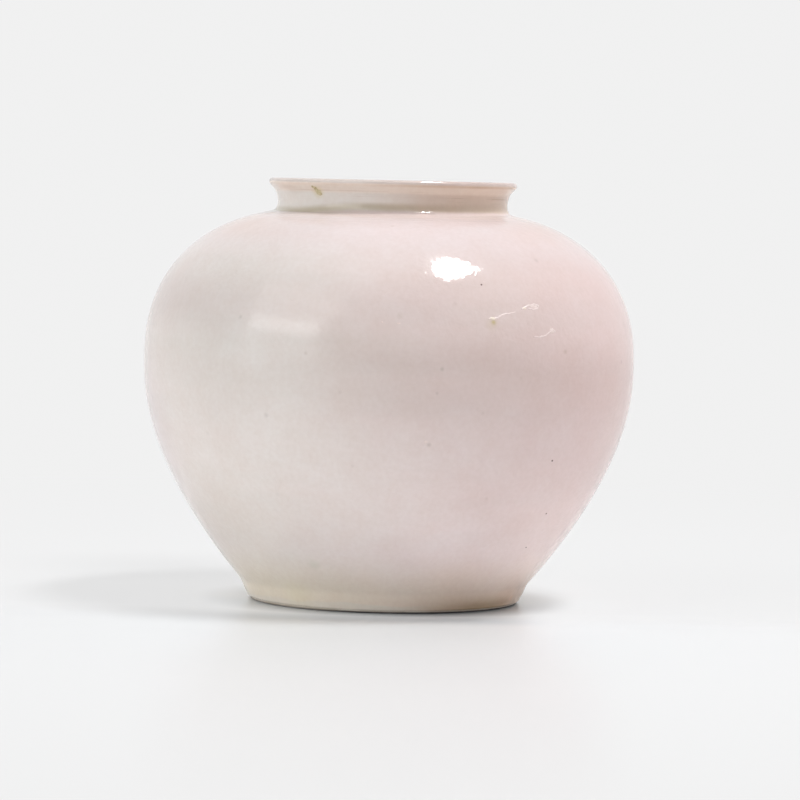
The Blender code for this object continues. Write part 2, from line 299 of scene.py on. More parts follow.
# Stains in the glaze, and patches of painted light and shade low on the right: angle and height as above,
# reach in millimetres, strength, and the tint they give
STAINS_AND_PAINTED_SHADING = (
    (24.4, 147.0, 2.2, 0.9, (0.82, 0.80, 0.50)), (24.0, 146.0, 5.0, 0.5, (0.93, 0.93, 0.80)),
    (-38.5, 207.9, 5.0, 0.85, (0.90, 0.86, 0.60)), (-23.8, 24.2, 5.0, 0.55, (0.86, 0.92, 0.86)),
    (-20.9, 22.0, 3.0, 0.3, (1.06, 1.06, 1.05)), (12.0, 124.2, 1.6, 0.7, (0.74, 0.74, 0.70)),
    (43.8, 132.7, 1.8, 0.6, (0.78, 0.74, 0.66)), (-36.3, 146.2, 1.7, 0.7, (0.80, 0.80, 0.78)),
    (-18.6, 130.2, 1.5, 0.6, (0.80, 0.76, 0.74)), (-28.4, 99.3, 2.0, 0.6, (0.80, 0.80, 0.80)),
    (68.5, 126.5, 1.6, 0.6, (0.76, 0.72, 0.74)), (11.0, 112.6, 1.3, 0.6, (0.78, 0.76, 0.74)),
    (0.2, 191.8, 1.6, 0.5, (0.80, 0.76, 0.70)), (9.9, 87.4, 1.7, 0.8, (0.78, 0.76, 0.74)),
    (2.4, 149.4, 2.4, 0.4, (0.84, 0.82, 0.76)), (15.3, 155.6, 2.0, 0.35, (0.84, 0.80, 0.78)),
    (43.0, 176.5, 2.2, 0.6, (0.80, 0.78, 0.78)), (-29.0, 60.0, 2.0, 0.3, (0.85, 0.85, 0.85)),
    (27.0, 60.5, 1.6, 0.35, (0.80, 0.76, 0.74)), (-8.0, 76.0, 1.5, 0.4, (0.82, 0.80, 0.78)),
    (22.0, 103.0, 1.5, 0.35, (0.80, 0.76, 0.74)), (-47.0, 88.0, 1.8, 0.35, (0.82, 0.82, 0.80)),
    (-10.5, 112.0, 1.4, 0.4, (0.82, 0.80, 0.78)), (31.0, 120.0, 1.6, 0.35, (0.82, 0.78, 0.74)),
    # Below, painted light at 24 degrees and browner glaze, partly painted shade, at 60 and 75 degrees
    (64.2, 5.0, 2.8, 0.6, (1.12, 0.97, 0.94)), (-36.0, 7.0, 14.0, 0.45, (0.97, 0.99, 0.87)),
    (24.0, 18.0, 30.0, 0.9, (1.06, 1.045, 1.015)), (60.0, 7.0, 15.0, 0.7, (0.91, 0.83, 0.79)),
    (75.0, 8.0, 15.0, 0.9, (0.84, 0.75, 0.70)),
)

# Shapes of the marks: how far they rise, their unevenness, and their sections as places across and heights.
# A seed tells one mark's noise from the next one's, and a drift is its step along a thread, its step from
# thread to thread, and its start.
SPECK_RISE = 0.10 * MM
BLOOM_RISE = 0.14 * MM
BLISTER_STEPS = 20
BLISTER_UNEVEN = 0.45
BLISTER_LOBES = 2
BLISTER_RINGS = ((1.0, -1.5), (0.92, 0.0), (0.70, 0.62), (0.38, 0.94), (0.10, 1.0))
SEED_STEP = 7.3
CREAM_SEED = 20
BLOOM_SEED = 40
TEAR_RISE = 0.11 * MM
TEAR_STEPS = 40
TEAR_WANDER = 0.5 * MM
TEAR_UNEVEN = 0.35
TEAR_SECTION = ((-1.0, -1.2), (-0.55, 0.6), (0.0, 1.0), (0.55, 0.6), (1.0, -1.2))
WIDTH_DRIFT = (0.45, 5.1, 0.0)
WANDER_DRIFT = (0.30, 3.7, 2.0)

# Looks of the marks: two colours, the scale of their blotches, and their roughness. Their grain is finer
# than the blotches by a factor.
MARK_LOOKS = {
    "specks": ((0.10, 0.055, 0.045), (0.20, 0.12, 0.10), 2500.0, 0.25),
    "pale_spots": ((0.80, 0.68, 0.65), (0.74, 0.61, 0.57), 1500.0, 0.10),
    "cream_spots": ((0.83, 0.75, 0.63), (0.79, 0.68, 0.60), 900.0, 0.12),
    "torn_glaze": ((0.800, 0.680, 0.655), (0.765, 0.640, 0.620), 400.0, 0.12),
    "neck_bloom": ((0.42, 0.345, 0.19), (0.62, 0.54, 0.35), 1100.0, 0.15),
}
BLOTCH_DETAIL = 3.0
BLOTCH_RANGE = (0.35, 0.65)
BLOTCH_ROUGHER = 0.1
GRAIN_FINER = 2
BLOTCH_BUMP = (0.5, 0.1 * MM)


def outline_pairs():
    """The straight pieces of the clay's outline in the half-plane y = 0, each as its low and its high end.

    An end is a radius and a height.
    """
    pairs = []
    for node in frame["nodes"].values():
        mesh = node.data
        places = [vert.co for vert in mesh.vertices]
        for edge in mesh.edges:
            first, last = (places[index] for index in edge.vertices)
            if max(abs(first.y), abs(last.y)) > TINY or min(first.x, last.x) < -TINY:
                continue
            ends = sorted((Vector((first.x, first.z)), Vector((last.x, last.z))), key=lambda end: end.y)
            pairs.append(ends)
    return pairs


def side_of_clay(pairs, low, high, pick):
    """The outline's points between two heights, going up, on its outermost (max) or innermost (min) side."""
    points = {(round(end.x, DECIMALS), round(end.y, DECIMALS)) for pair in pairs for end in pair}
    kept = []
    for radius, height in sorted(points, key=lambda point: point[1]):
        if not low <= height <= high:
            continue
        if abs(pick(crossings(pairs, height)) - radius) >= SAME_PLACE:
            continue
        if not kept or height > kept[-1][1] + TINY:
            kept.append((radius, height))
    return np.array(kept)


def crossings(pairs, height):
    """The radii at which the clay's outline crosses a height."""
    crossed = []
    for bottom, top in pairs:
        if not bottom.y - TINY <= height <= top.y + TINY:
            continue
        rise = top.y - bottom.y
        if rise < TINY:
            crossed += [bottom.x, top.x]
        else:
            crossed.append(bottom.x + (top.x - bottom.x) * (height - bottom.y) / rise)
    return crossed


def level_face(node, way):
    """The height of a node's level face that looks up (1) or down (-1)."""
    polygons = frame["nodes"][node].data.polygons
    return next(face.center.z for face in polygons if face.normal.z * way > LEVEL_NORMAL)


def run_along(points):
    """The distance along a path to each of its points."""
    return np.concatenate([[0], np.cumsum(np.linalg.norm(np.diff(points, axis=0), axis=1))])


def curve_through(points, spacing):
    """Evenly spaced points on a smooth curve through the given ones.

    Each stretch between two points blends the straight runs through the four points round it. The knots are
    set by the square roots of the distances, so that the curve doesn't swing past the points.
    """
    ends = np.vstack([2 * points[0] - points[1], points, 2 * points[-1] - points[-2]])
    knots = np.concatenate([[0], np.cumsum(np.sqrt(np.linalg.norm(np.diff(ends, axis=0), axis=1)))])
    dense = []
    for i in range(1, len(ends) - 2):
        t0, t1, t2, t3 = knots[i - 1:i + 3]
        count = max(2, int(np.linalg.norm(ends[i + 1] - ends[i]) / (spacing / DENSER)))
        for t in np.linspace(t1, t2, count, endpoint=False):
            a = ends[i - 1] * (t1 - t) / (t1 - t0) + ends[i] * (t - t0) / (t1 - t0)
            b = ends[i] * (t2 - t) / (t2 - t1) + ends[i + 1] * (t - t1) / (t2 - t1)
            c = ends[i + 1] * (t3 - t) / (t3 - t2) + ends[i + 2] * (t - t2) / (t3 - t2)
            low = a * (t2 - t) / (t2 - t0) + b * (t - t0) / (t2 - t0)
            high = b * (t3 - t) / (t3 - t1) + c * (t - t1) / (t3 - t1)
            dense.append(low * (t2 - t) / (t2 - t1) + high * (t - t1) / (t2 - t1))
    dense.append(ends[-2])
    dense = np.array(dense)
    run = run_along(dense)
    places = np.linspace(0, run[-1], int(run[-1] / spacing) + 2)
    return np.stack([np.interp(places, run, dense[:, 0]), np.interp(places, run, dense[:, 1])], axis=1)


def outward(points):
    """The unit step away from the clay at each point. The clay is on the left of the path."""
    along = np.gradient(points, axis=0)
    away = np.stack([along[:, 1], -along[:, 0]], axis=1)
    return away / np.linalg.norm(away, axis=1)[:, None]


def filled(points):
    """The path after melted glaze has filled its hollows and softened its edges a little."""
    path = points.copy()
    for round_number in range(FILL_ROUNDS):
        bend = (path[:-2] + path[2:]) / 2 - path[1:-1]
        hollow = np.sum(bend * outward(path)[1:-1], axis=1) > 0
        if round_number < SOFTEN_ROUNDS:
            hollow[:] = True
        path[1:-1] += FILL_SHARE * bend * hollow[:, None]
    return path


def glaze_path(pairs):
    """The skin's outline: under the base, through the foot, up the outside, over the lip and down inside.

    Returns the points and, for each, 1 outside the jar, -1 inside it and 0 under it.
    """
    top = max(high.y for _, high in pairs)
    base = level_face("lower_bowl", -1)
    bottom = level_face("lower_bowl", 1)
    outside = side_of_clay(pairs, 0, top, max)
    inside = side_of_clay(pairs, bottom, top, min)[::-1]
    recess = side_of_clay(pairs, 0, base - TINY, min)[::-1]
    wall = np.vstack([outside, inside[1:], [[0, bottom]]])
    under = np.vstack([[[0, base]], [[recess[0][0], base]], recess])
    wall = filled(curve_through(wall, SAMPLE))
    under = filled(curve_through(under, SAMPLE))
    lip = int(np.argmax(wall[:, 1]))
    side = np.where(np.arange(len(wall)) <= lip, 1.0, -1.0)
    wall, side = with_bead(wall, side, at_start=True)
    under, zero = with_bead(under, np.zeros(len(under)), at_start=False)
    return np.vstack([under, wall]), np.concatenate([zero, side])


def with_bead(path, side, at_start):
    """Lays the glaze on the clay above the glaze line, with a bead at the path's start or at its end.

    The bead ends a little inside the clay.
    """
    order = slice(None) if at_start else slice(None, None, -1)
    path, side = path[order], side[order]
    start = int(np.argmax(path[:, 1] > GLAZE_LINE))
    away = outward(path) * (1 if at_start else -1)
    run = run_along(path)
    half = BEAD_LENGTH / 2
    past = run - run[start]
    swell = BEAD * np.exp(-((past - half) / half) ** 2)
    rise = np.sqrt(np.clip(past / half, 0, 1))
    skin = path + away * ((GLAZE + swell) * rise)[:, None]
    buried = skin[start] - away[start] * CUT_DEPTH
    skin = np.vstack([buried, skin[start:]])
    side = np.concatenate([[side[start]], side[start:]])
    return skin[order], side[order]


def thinned(path, side):
    """Keeps enough of the points: closer together round the neck, the lip and the foot than on the walls."""
    lip = path[:, 1].max()
    kept = [0]
    for index in range(1, len(path)):
        radius, height = path[index]
        if side[index] == 0:
            fine = radius >= FINE_RADIUS
        else:
            fine = height > lip - FINE_LIP or height < FINE_FOOT
        step = FINE_STEP if fine else WALL_STEP
        if np.linalg.norm(path[index] - path[kept[-1]]) >= step:
            kept.append(index)
    if kept[-1] != len(path) - 1:
        kept.append(len(path) - 1)
    return path[kept], side[kept]


def glaze_coat(pairs, finish):
    """The glaze as one closed skin, turned round the axis with its throwing marks and unevenness."""
    path, side = thinned(*glaze_path(pairs))
    away = outward(path)
    run = run_along(path)
    bm = bmesh.new()
    rings = [[bm.verts.new((0, 0, path[0, 1]))]]
    for index in range(1, len(path) - 1):
        ring = []
        for step in range(ROUND_STEPS):
            angle = tau * step / ROUND_STEPS
            push = ripple(run[index], angle, side[index], *path[index])
            radius, height = path[index] + away[index] * push
            ring.append(bm.verts.new((radius * cos(angle), radius * sin(angle), height)))
        rings.append(ring)
    rings.append([bm.verts.new((0, 0, path[-1, 1]))])
    bridge(bm, rings)
    glaze_piece(bm, "glaze_coat", finish)


def ripple(run, angle, side, radius, height):
    """How far the skin stands out at one place, beyond its even thickness."""
    if side == 0 or (side > 0 and height < OUTER_START):
        return 0.0
    across, along = cos(angle), sin(angle)
    if side > 0:
        strength = swung(OUTER_STRENGTH, Vector((across, along, height * OUTER_CHANGE)))
        wave = cos(tau * (run / OUTER_PITCH - angle / tau))
        uneven = noise.noise(Vector((radius * across, radius * along, height)) * UNEVEN_SCALE)
        return OUTER_RIPPLE * strength * wave + UNEVEN * uneven
    fade = min(1.0, max(0.0, (INNER_TOP - height) / INNER_FADE))
    strength = swung(INNER_STRENGTH, Vector((across, along, height * INNER_CHANGE)) * INNER_LOBES)
    wave = 0.5 - 0.5 * cos(tau * (run / INNER_PITCH - angle / tau))
    return INNER_RIPPLE * strength * wave * fade


def swung(strength, place):
    """A strength at a place in its noise, from its mean and its swing."""
    mean, swing = strength
    return mean + swing * noise.noise(place)


def bridge(bm, rings):
    """Joins each ring of points to the next with faces. A ring of one point is a tip."""
    for lower, upper in zip(rings, rings[1:]):
        count = max(len(lower), len(upper))
        for step in range(count):
            after = (step + 1) % count
            corners = [lower[step % len(lower)], lower[after % len(lower)]]
            corners += [upper[after % len(upper)], upper[step % len(upper)]]
            bm.faces.new(list(dict.fromkeys(corners)))


def cap(bm, rings):
    """Closes the first and the last ring, each with one face."""
    bm.faces.new(rings[0][::-1])
    bm.faces.new(rings[-1])


def piece_from(bm, name):
    """Makes a smooth object of a bmesh and links it."""
    mesh = bpy.data.meshes.new(name)
    bm.to_mesh(mesh)
    bm.free()
    mesh.shade_smooth()
    piece = bpy.data.objects.new(name, mesh)
    bpy.context.scene.collection.objects.link(piece)
    return piece


def glaze_piece(bm, name, finish):
    """Makes a piece of glaze of closed bodies, with their faces turned out, and fixes it to the jar."""
    bmesh.ops.recalc_face_normals(bm, faces=bm.faces)
    piece = piece_from(bm, name)
    piece.data.materials.append(finish)
    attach(piece, "root")


class Skin:
    """The outside of the glaze, to place marks on by an angle in degrees to the right of -Y and a height."""

    def __init__(self, pairs):
        path, side = glaze_path(pairs)
        outside = path[side > 0]
        lip = int(np.argmax(outside[:, 1]))
        self.path = outside[:lip]
        self.away = outward(outside)[:lip]

    def at(self, angle, height):
        """The place there, the way out of the glaze, the way to the right and the way up along it."""
        columns = (self.path[:, 0], self.away[:, 0], self.away[:, 1])
        radius, out_level, out_up = (np.interp(height, self.path[:, 1], column) for column in columns)
        out = Vector((out_level, out_up)).normalized()
        turn = radians(angle)
        level = Vector((sin(turn), -cos(turn), 0))
        aside = Vector((cos(turn), sin(turn), 0))
        normal = level * out.x + Vector((0, 0, out.y))
        return level * radius + Vector((0, 0, height)), normal, aside, normal.cross(aside)


def blister(bm, seat, size, rise, lean, seed):
    """A low dome of uneven outline, its rim sunk in the glaze. Size is its width and height on the skin."""
    place, normal, aside, above = seat
    turn = Matrix.Rotation(radians(lean), 3, normal)
    aside, above = turn @ aside, turn @ above
    rings = []
    for share, lift in BLISTER_RINGS:
        ring = []
        for step in range(BLISTER_STEPS):
            angle = tau * step / BLISTER_STEPS
            lobe = Vector((BLISTER_LOBES * cos(angle), BLISTER_LOBES * sin(angle), seed * SEED_STEP))
            reach = share * (1 + BLISTER_UNEVEN * noise.noise(lobe)) / 2
            spot = place + aside * (cos(angle) * size[0] * reach) + above * (sin(angle) * size[1] * reach)
            ring.append(bm.verts.new(spot + normal * (rise * lift)))
        rings.append(ring)
    bridge(bm, rings)
    cap(bm, rings)


def blisters(skin, rows, rise, first_seed):
    """A group of blisters, one for each row."""
    bm = bmesh.new()
    for seed, (angle, height, width, tall, lean) in enumerate(rows, first_seed):
        blister(bm, skin.at(angle, height * MM), (width * MM, tall * MM), rise, lean, seed)
    return bm


def tear(bm, skin, points, seed):
    """A thread of glaze that pulled up, with its edges sunk in, through (angle, height, width) points."""
    rings = []
    for number, (angle, height, width) in enumerate(between(points, TEAR_STEPS)):
        place, normal, _, above = skin.at(angle, height)
        half = width * (0.5 + TEAR_UNEVEN * drift(WIDTH_DRIFT, number, seed))
        middle = place + above * (TEAR_WANDER * drift(WANDER_DRIFT, number, seed))
        ring = []
        for across, lift in TEAR_SECTION:
            ring.append(bm.verts.new(middle + above * (half * across) + normal * (TEAR_RISE * lift)))
        rings.append(ring)
    bridge(bm, rings)
    cap(bm, rings)


def tears(skin):
    """The threads of torn glaze."""
    bm = bmesh.new()
    for seed, points in enumerate(TEARS):
        tear(bm, skin, [(angle, height * MM, width * MM) for angle, height, width in points], seed)
    return bm


def drift(steps, number, seed):
    """Noise that changes smoothly along a thread."""
    along, apart, start = steps
    return noise.noise(Vector((number * along, seed * apart, start)))


def between(points, count):
    """Points set evenly along a chain of points, with all their values."""
    chain = np.array(points)
    run = np.linspace(0, 1, len(chain))
    places = np.linspace(0, 1, count)
    return np.stack([np.interp(places, run, chain[:, column]) for column in range(chain.shape[1])], axis=1)


def marks(skin, finishes):
    """The marks on the glaze, each kind one piece."""
    kinds = {
        "specks": blisters(skin, SPECKS, SPECK_RISE, 0),
        "pale_spots": blisters(skin, PALE_SPOTS, SPECK_RISE, 0),
        "cream_spots": blisters(skin, CREAM_SPOTS, BLOOM_RISE, CREAM_SEED),
        "torn_glaze": tears(skin),
        "neck_bloom": blisters(skin, BLOOM, BLOOM_RISE, BLOOM_SEED),
    }
    for name, bm in kinds.items():
        glaze_piece(bm, name, finishes[name])


class Nodes:
    """Builds a node tree a node at a time. An input is given a value or another node's output.

    A mix node has sockets for each kind of value: numbers go in at 2 and 3 and come out at 0, and colours go
    in at 6 and 7 and come out at 2.
    """

    def __init__(self, tree):
        self.tree = tree

    def add(self, kind, inputs=None, output=0, **settings):
        """Adds a node with its settings and its inputs, and gives one of its outputs."""
        made = self.tree.nodes.new(kind)
        for name, value in settings.items():
            setattr(made, name, value)
        for name, value in (inputs or {}).items():
            self.put(made.inputs[name], value)
        return made.outputs[output]

    def put(self, socket, value):
        """Links a node's output to an input, or sets the input to a value."""
        if isinstance(value, bpy.types.NodeSocket):
            self.tree.links.new(value, socket)
        elif isinstance(value, tuple) and len(value) == 3 and socket.type == "RGBA":
            socket.default_value = value + (1.0,)
        else:
            socket.default_value = value

    def place(self):
        """Where a point is, in metres: the pieces are at the origin, so this is the jar's own frame."""
        return self.add("ShaderNodeTexCoord", output="Object")

    def parts(self, vector):
        """The three parts of a vector."""
        split = self.tree.nodes.new("ShaderNodeSeparateXYZ")
        self.put(split.inputs[0], vector)
        return tuple(split.outputs)

    def rays(self, *kinds):
        """1 for rays of the named kinds, 0 for the others."""
        path = self.tree.nodes.new("ShaderNodeLightPath")
        found = path.outputs[kinds[0]]
        for kind in kinds[1:]:
            found = self.math("MAXIMUM", found, path.outputs[kind])
        return found

    def math(self, operation, first, second=0.0):
        """A number worked out from one or two others."""
        return self.add("ShaderNodeMath", {0: first, 1: second}, operation=operation)

    def times(self, first, *others):
        """The product of the values."""
        for other in others:
            first = self.math("MULTIPLY", first, other)
        return first

    def plus(self, value, other, amount):
        """A value plus an amount of another."""
        return self.math("ADD", value, self.times(other, amount))

    def blend(self, first, second, first_share, second_share, rest):
        """A sum of two values, each times its share, and a constant."""
        return self.math("ADD", self.plus(self.times(first, first_share), second, second_share), rest)

    def span(self, value, low, high, start=0.0, end=1.0, smooth=True):
        """Maps a value from low..high to start..end, held beyond them. High may be the smaller one."""
        kind = "SMOOTHSTEP" if smooth else "LINEAR"
        inputs = {"Value": value, "From Min": low, "From Max": high, "To Min": start, "To Max": end}
        return self.add("ShaderNodeMapRange", inputs, interpolation_type=kind)

    def both(self, first, first_range, second, second_range):
        """One value mapped by its range, times another mapped by its own."""
        return self.times(self.span(first, *first_range), self.span(second, *second_range))

    def hump(self, value, centre, reach):
        """1 where the value is at a centre, falling smoothly to 0 at a distance on either side."""
        away = self.math("ABSOLUTE", self.math("SUBTRACT", value, centre))
        return self.span(away, reach, 0.0)

    def measure(self, operation, first, second=(0, 0, 0)):
        """A number worked out from one or two vectors."""
        inputs = {0: first, 1: second}
        return self.add("ShaderNodeVectorMath", inputs, "Value", operation=operation)

    def stretch(self, vector, scale):
        """The place with its axes scaled, so that a texture on it is drawn out."""
        return self.add("ShaderNodeVectorMath", {0: vector, 1: scale}, operation="MULTIPLY")

    def from_axis(self, vector):
        """How far a place is from the upright line through the origin."""
        return self.measure("LENGTH", self.stretch(vector, LEVEL_AXES))

    def near(self, vector, point, reach):
        """1 at a point, falling smoothly to 0 at a distance from it."""
        return self.span(self.measure("DISTANCE", vector, point), reach, 0.0)

    def noise(self, vector, scale, detail=2.0, roughness=0.5):
        """Smooth noise about 0.5."""
        inputs = {"Vector": vector, "Scale": scale, "Detail": detail, "Roughness": roughness}
        return self.add("ShaderNodeTexNoise", inputs)

    def wave(self, vector, scale, detail):
        """Smooth noise about 0."""
        return self.math("SUBTRACT", self.noise(vector, scale, detail), 0.5)

    def texture(self, vector, pattern, reach):
        """Noise mapped by a range of its values."""
        return self.span(self.noise(vector, *pattern), *reach)

    def streaks(self, vector, scale, pattern, reach):
        """A texture whose axes are scaled."""
        return self.texture(self.stretch(vector, scale), pattern, reach)

    def choose(self, factor, first, second):
        """The first value where the factor is 0 and the second where it is 1."""
        return self.add("ShaderNodeMix", {0: factor, 2: first, 3: second})

    def mix(self, factor, first, second, blend="MIX"):
        """The first colour where the factor is 0 and the second, or their blend, where it is 1."""
        inputs = {0: factor, 6: first, 7: second}
        return self.add("ShaderNodeMix", inputs, 2, data_type="RGBA", blend_type=blend)

    def tint(self, factor, colour, by):
        """A colour multiplied by another where the factor is 1."""
        return self.mix(factor, colour, by, "MULTIPLY")

    def patches(self, colour, place, rows):
        """A colour tinted round each of several points."""
        for point, reach, by in rows:
            colour = self.tint(self.near(place, point, reach), colour, by)
        return colour

    def band(self, colour, level, across, row):
        """A colour tinted along a hump of one value, as far as a range of another."""
        hump, reach, by = row
        return self.tint(self.times(self.hump(level, *hump), self.span(across, *reach)), colour, by)

    def scaled(self, colour, amount):
        """A colour made lighter or darker by a factor."""
        return self.add("ShaderNodeVectorMath", {0: colour, "Scale": amount}, operation="SCALE")

    def bump(self, height, strength, distance):
        """The way out of a surface that rises and falls with a height."""
        inputs = {"Height": height, "Strength": strength, "Distance": distance}
        return self.add("ShaderNodeBump", inputs)

    def card(self, way, centre, half, edge):
        """1 for ways inside a soft-edged rectangle round a centre way, 0 outside it."""
        centre = centre.normalized()
        aside = Vector((0, 0, 1)).cross(centre).normalized()
        above = centre.cross(aside)
        inside = self.math("GREATER_THAN", self.measure("DOT_PRODUCT", way, tuple(centre)), 0.0)
        for axis, size, soft in zip((aside, above), half, edge):
            off = self.math("ABSOLUTE", self.measure("DOT_PRODUCT", way, tuple(axis)))
            inside = self.times(inside, self.span(off, size + soft, size - soft))
        return inside


def material(name):
    """A new material, the builder of its nodes, and its shader."""
    made = bpy.data.materials.new(name)
    made.use_nodes = True
    return made, Nodes(made.node_tree), made.node_tree.nodes["Principled BSDF"]


def glaze_material(skin):
    """Glossy milky glaze: cream left, pink right, warmer at the foot, fired unevenly, with painted light and
    shade.
    """
    made, nodes, shader = material("glaze")
    place = nodes.place()
    x, _, z = nodes.parts(place)
    wander = nodes.wave(place, *WANDER)
    pink = nodes.span(nodes.plus(x, wander, WANDER_ACROSS), *PINK_ACROSS, smooth=False)
    colour = nodes.mix(pink, CREAM, PINK)
    colour = nodes.mix(nodes.span(z, *ROSE_RISE), colour, ROSE)
    colour = by_height(nodes, colour, x, nodes.plus(z, wander, WANDER_UP))
    colour = nodes.patches(colour, place, BODY_PATCHES)
    colour = nodes.band(colour, z, x, LEFT_SHOULDER)
    sides = nodes.both(nodes.math("ABSOLUTE", x), WARM_ASIDE, z, WARM_RISE)
    colour = nodes.tint(sides, colour, WARM_SHOULDER)
    colour = foot_tints(nodes, colour, place, x, z)
    colour = neck_tints(nodes, colour, place, x, z)
    colour = mottled(nodes, colour, place)
    colour = stained_and_shaded(nodes, colour, place, skin)
    nodes.put(shader.inputs["Base Color"], colour)
    nodes.put(shader.inputs["Roughness"], nodes.texture(place, *GLAZE_ROUGHNESS))
    nodes.put(shader.inputs["IOR"], GLAZE_IOR)
    peel = nodes.plus(nodes.noise(place, *PEEL), nodes.noise(place, *FINE_PEEL), FINE_PEEL_SHARE)
    nodes.put(shader.inputs["Normal"], nodes.bump(peel, *PEEL_BUMP))
    return made


def by_height(nodes, colour, x, level):
    """A belt of painted shade round the girth, a fainter one above it, and painted bounce light on the lower
    bowl.
    """
    for row in (PAINTED_SHADE_BELT, HIGH_BELT):
        colour = nodes.band(colour, level, x, row)
    # Painted bounce light, lighter down the lower bowl and towards the foot
    bowl = nodes.span(level, *PAINTED_BOUNCE_BOWL, smooth=False)
    return nodes.scaled(colour, nodes.times(bowl, nodes.span(level, *PAINTED_BOUNCE_FOOT)))


def foot_tints(nodes, colour, place, x, z):
    """Where the glaze ran down: yellowish above the foot, pale at its edge, browner at its right front.

    The pale edge is partly painted light, and the brown partly painted shade.
    """
    level = nodes.plus(z, nodes.wave(place, *FOOT_WAVE), FOOT_WAVE_HEIGHT)
    colour = nodes.tint(nodes.span(level, *TIDE_DROP), colour, TIDE)
    # The pale edge on the left, partly painted light
    pale = nodes.both(level, FOOT_PALE_AND_LIT_DROP, x, FOOT_PALE_AND_LIT_ACROSS)
    colour = nodes.mix(pale, colour, FOOT_PALE_AND_LIT)
    # Browner at the right front of the foot, partly painted shade
    brown_and_shade = nodes.times(nodes.near(place, *FOOT_BROWN_AND_SHADE_PLACE), nodes.span(z, *FOOT_BROWN_AND_SHADE_DROP))
    return nodes.mix(brown_and_shade, colour, FOOT_BROWN_AND_SHADE)


def neck_tints(nodes, colour, place, x, z):
    """The neck: glaze pooled above the shoulder, thin and brown under the lip, and darker along its edge."""
    out = nodes.from_axis(place)
    wave = nodes.wave(nodes.stretch(place, LEVEL_AXES), *NECK_WAVE)
    level = nodes.plus(z, wave, NECK_WAVE_HEIGHT)
    right = nodes.span(nodes.plus(x, wave, NECK_WAVE_ACROSS), *NECK_ACROSS)
    # Painted light on the shoulder round the neck's root
    colour = nodes.band(colour, level, out, PAINTED_LIGHT_UNDER_NECK)
    outer = nodes.choose(right, nodes.span(out, *NECK_TO_LEFT), nodes.span(out, *NECK_TO_RIGHT))
    on_neck = nodes.times(nodes.span(out, *NECK_FROM), outer)
    low = nodes.math("SUBTRACT", level, nodes.span(x, *NECK_LEAN))
    neck = nodes.times(nodes.span(low, *NECK_RISE), on_neck)
    pool = nodes.times(nodes.hump(low, *POOL_HUMP), on_neck)
    collar = nodes.both(level, COLLAR_RISE, out, COLLAR_OUT)
    # The browner right-hand colours of the neck and the collar are partly painted shade
    for where, pair in ((neck, NECK), (pool, POOL), (collar, COLLAR)):
        colour = nodes.mix(where, colour, nodes.mix(right, *pair))
    lines = nodes.times(lip_lines(nodes, place, level, right), on_neck)
    colour = nodes.mix(lines, colour, THIN_BROWN)
    colour = nodes.mix(nodes.span(level, *LIP_EDGE_RISE), colour, nodes.mix(right, *LIP_EDGE))
    strength = nodes.span(right, 0.0, 1.0, *RIM_LEFT_TO_RIGHT)
    rim = nodes.times(nodes.hump(z, *RIM_HUMP), strength, nodes.span(out, *RIM_OUT))
    return nodes.tint(rim, colour, RIM)


def lip_lines(nodes, place, level, right):
    """Where the glaze is thin in level lines under the lip: broken here and there, stronger on the right."""
    lines = nodes.streaks(place, *THIN_STREAKS)
    strength = nodes.span(right, 0.0, 1.0, *THIN_LEFT_TO_RIGHT)
    return nodes.times(lines, nodes.hump(level, *THIN_HUMP), strength, nodes.streaks(place, *THIN_BREAKS))


def mottled(nodes, colour, place):
    """Cloudiness, faint drawn-out streaks of throwing and fine grain, each a few hundredths strong."""
    for scale, fineness, detail, low, high in MOTTLES:
        patch = nodes.noise(nodes.stretch(place, scale), fineness, detail, MOTTLE_ROUGHNESS)
        shade = nodes.mix(nodes.span(patch, *MOTTLE_RANGE, smooth=False), low, high)
        colour = nodes.tint(1.0, colour, shade)
    return colour


def stained_and_shaded(nodes, colour, place, skin):
    """Small stains and larger tints, some of them painted light and shade, each at its own place on the skin.
    """
    for angle, height, reach, strength, by in STAINS_AND_PAINTED_SHADING:
        middle = tuple(skin.at(angle, height * MM)[0])
        spot = nodes.near(place, middle, reach * MM)
        colour = nodes.tint(nodes.times(spot, strength), colour, by)
    return colour


def mark_material(name, colour, other, scale, roughness):
    """Glaze of another colour, blotched, and a little less glossy than the rest."""
    made, nodes, shader = material(name)
    place = nodes.place()
    blotch = nodes.span(nodes.noise(place, scale, BLOTCH_DETAIL), *BLOTCH_RANGE)
    nodes.put(shader.inputs["Base Color"], nodes.mix(blotch, colour, other))
    rougher = nodes.span(blotch, 0.0, 1.0, roughness, roughness + BLOTCH_ROUGHER)
    nodes.put(shader.inputs["Roughness"], rougher)
    nodes.put(shader.inputs["Normal"], nodes.bump(nodes.noise(place, scale * GRAIN_FINER), *BLOTCH_BUMP))
    return made


def clay_material(name, light, dark):
    """Fired clay: matt, with fine grain and the turning tool's lines, and painted contact shade where it
    stands.
    """
    made, nodes, shader = material(name)
    place = nodes.place()
    x, _, z = nodes.parts(place)
    colour = nodes.mix(nodes.texture(place, *CLAY_PATCHES), light, dark)
    colour = nodes.mix(nodes.streaks(place, *CLAY_TURNING), colour, dark)
    # Painted contact shade along the lowest, outer edge, broken up by noise and stronger to the right
    edge = nodes.span(nodes.from_axis(place), *CONTACT_SHADE_EDGE)
    shade_breaks = nodes.math("MAXIMUM", nodes.texture(place, *CONTACT_SHADE_BREAKS), edge)
    contact_shade = nodes.times(nodes.both(z, CONTACT_SHADE_DROP, x, CONTACT_SHADE_ACROSS), shade_breaks)
    nodes.put(shader.inputs["Base Color"], nodes.mix(contact_shade, colour, CONTACT_SHADE))
    nodes.put(shader.inputs["Roughness"], nodes.texture(place, *CLAY_ROUGHNESS))
    nodes.put(shader.inputs["Normal"], nodes.bump(nodes.noise(place, *CLAY_GRAIN), *CLAY_BUMP))
    return made


